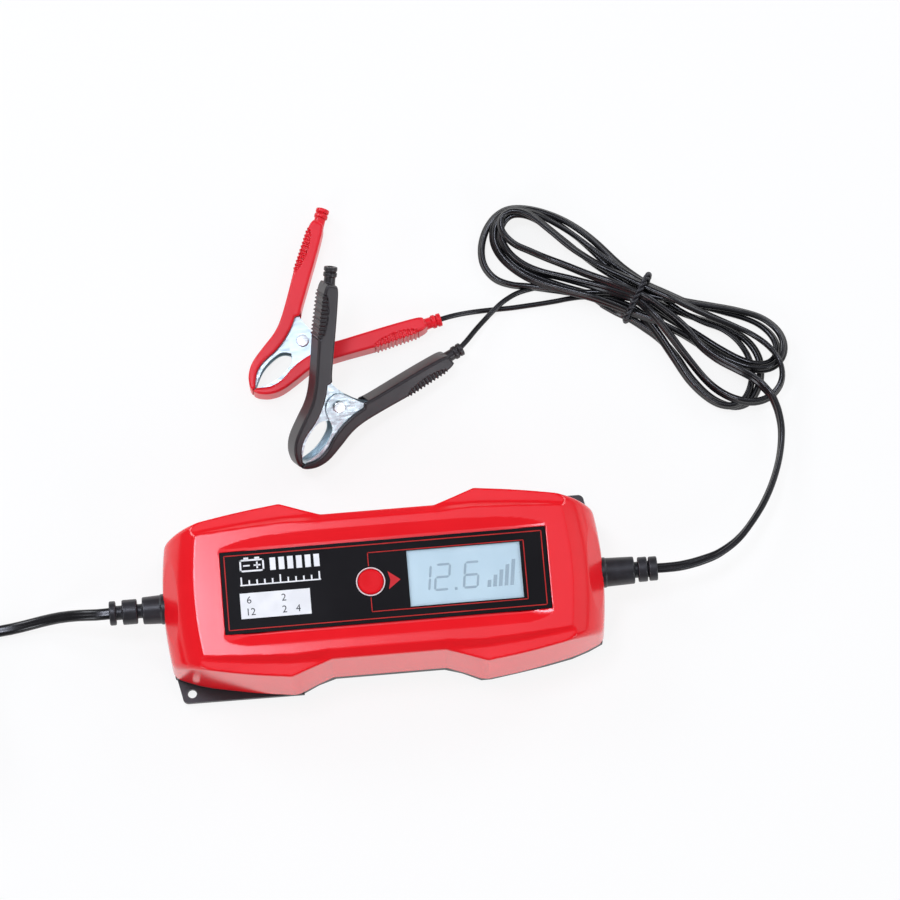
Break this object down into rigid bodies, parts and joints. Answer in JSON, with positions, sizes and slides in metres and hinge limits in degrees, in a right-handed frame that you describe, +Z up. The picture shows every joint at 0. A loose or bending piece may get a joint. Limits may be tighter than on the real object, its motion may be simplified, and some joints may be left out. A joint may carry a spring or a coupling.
{
  "type": "car battery charger",
  "caption": "Winged charger housing with a display panel and mode button, a mains lead with a two-pin plug, and a low-voltage lead hank with sprung battery clamps.",
  "frame": {"origin": "middle of the housing's underside, on the plane its feet stand on", "axes": "+X along the housing to the low-voltage lead's exit, +Y towards the back of the housing (the side the clamps lie on), +Z up through the display"},
  "size_m": [0.4814, 0.3445, 0.048],
  "materials": {
    "red_gloss_abs": "glossy red moulded ABS",
    "black_abs": "fine-textured black moulded ABS",
    "foot_rubber": "soft black rubber",
    "zinc_steel": "bright zinc-plated steel",
    "panel_film": "glossy black printed panel",
    "clear_pc": "clear polycarbonate window",
    "lcd_glass": "grey-blue liquid-crystal glass",
    "white_abs": "white moulded frame",
    "green_board": "green solder mask on glass-epoxy",
    "brown_board": "brown phenolic board",
    "red_button": "glossy red button cap",
    "bezel_print": "pale ring round the button",
    "ferrite": "dark grey ferrite",
    "tape": "yellow polyester tape over the winding",
    "capacitor_sleeve": "heat-shrunk capacitor sleeve",
    "copper": "enamelled copper wire",
    "fuse_ceramic": "ceramic fuse body",
    "heatsink_alu": "extruded aluminium",
    "epoxy": "black epoxy moulding",
    "pvc_black": "satin black flexible PVC",
    "wire_brown": "brown wire insulation",
    "wire_red": "red wire insulation",
    "red_grip": "red flexible vinyl sleeve",
    "black_grip": "black flexible vinyl sleeve"
  },
  "bodies": {
    "charger": {"upper_shell": "red_gloss_abs", "lower_shell": "black_abs", "feet": "foot_rubber", "housing_screws": "zinc_steel", "display_panel": "panel_film", "display_window": "clear_pc", "display_glass": "lcd_glass", "display_holder": "white_abs", "display_board": "green_board", "button_bezel": "bezel_print", "button_switch": "epoxy", "display_screws": "zinc_steel", "main_board": "brown_board", "board_screws": "zinc_steel", "transformer_core": "ferrite", "transformer_winding": "tape", "mains_capacitor": "capacitor_sleeve", "output_capacitors": "capacitor_sleeve", "mains_choke": "copper", "fuse": "fuse_ceramic", "heatsink": "heatsink_alu", "power_transistors": "epoxy", "mains_gland": "pvc_black", "output_gland": "pvc_black", "mains_tails": "wire_brown", "output_tails": "wire_red", "mains_lead": "pvc_black", "mains_coil": "pvc_black", "mains_tail": "pvc_black", "coil_tie": "pvc_black", "plug_body": "black_abs", "plug_pins": "zinc_steel", "output_lead": "pvc_black", "output_hank": "pvc_black", "hank_tie": "pvc_black", "red_wire": "pvc_black", "black_wire": "pvc_black", "red_wire_jaw": "zinc_steel", "red_wire_sleeve": "red_grip", "red_rivet": "zinc_steel", "red_spring": "zinc_steel", "black_wire_jaw": "zinc_steel", "black_wire_sleeve": "black_grip", "black_rivet": "zinc_steel", "black_spring": "zinc_steel"},
    "mode_button": {"mode_button": "red_button"},
    "red_free_arm": {"red_free_jaw": "zinc_steel", "red_free_sleeve": "red_grip"},
    "black_free_arm": {"black_free_jaw": "zinc_steel", "black_free_sleeve": "black_grip"}
  },
  "joints": [
    {"name": "mode_button_press", "type": "slide", "parent": "charger", "child": "mode_button", "axis": [0, 0, -1], "range_m": [0, 0.0006], "stiffness_N_per_m": 1500, "springref_m": -0.0003},
    {"name": "red_clamp_open", "type": "hinge", "parent": "charger", "child": "red_free_arm", "pos_m": [-0.0278, 0.1238, 0.006], "axis": [0, 0, -1], "range_deg": [0, 28], "stiffness_Nm_per_rad": 0.8, "springref_deg": -20.05},
    {"name": "black_clamp_open", "type": "hinge", "parent": "charger", "child": "black_free_arm", "pos_m": [-0.01475, 0.09107, 0.01482], "axis": [-0.2824, 0.4484, -0.848], "range_deg": [0, 28], "stiffness_Nm_per_rad": 0.8, "springref_deg": -20.05}
  ]
}
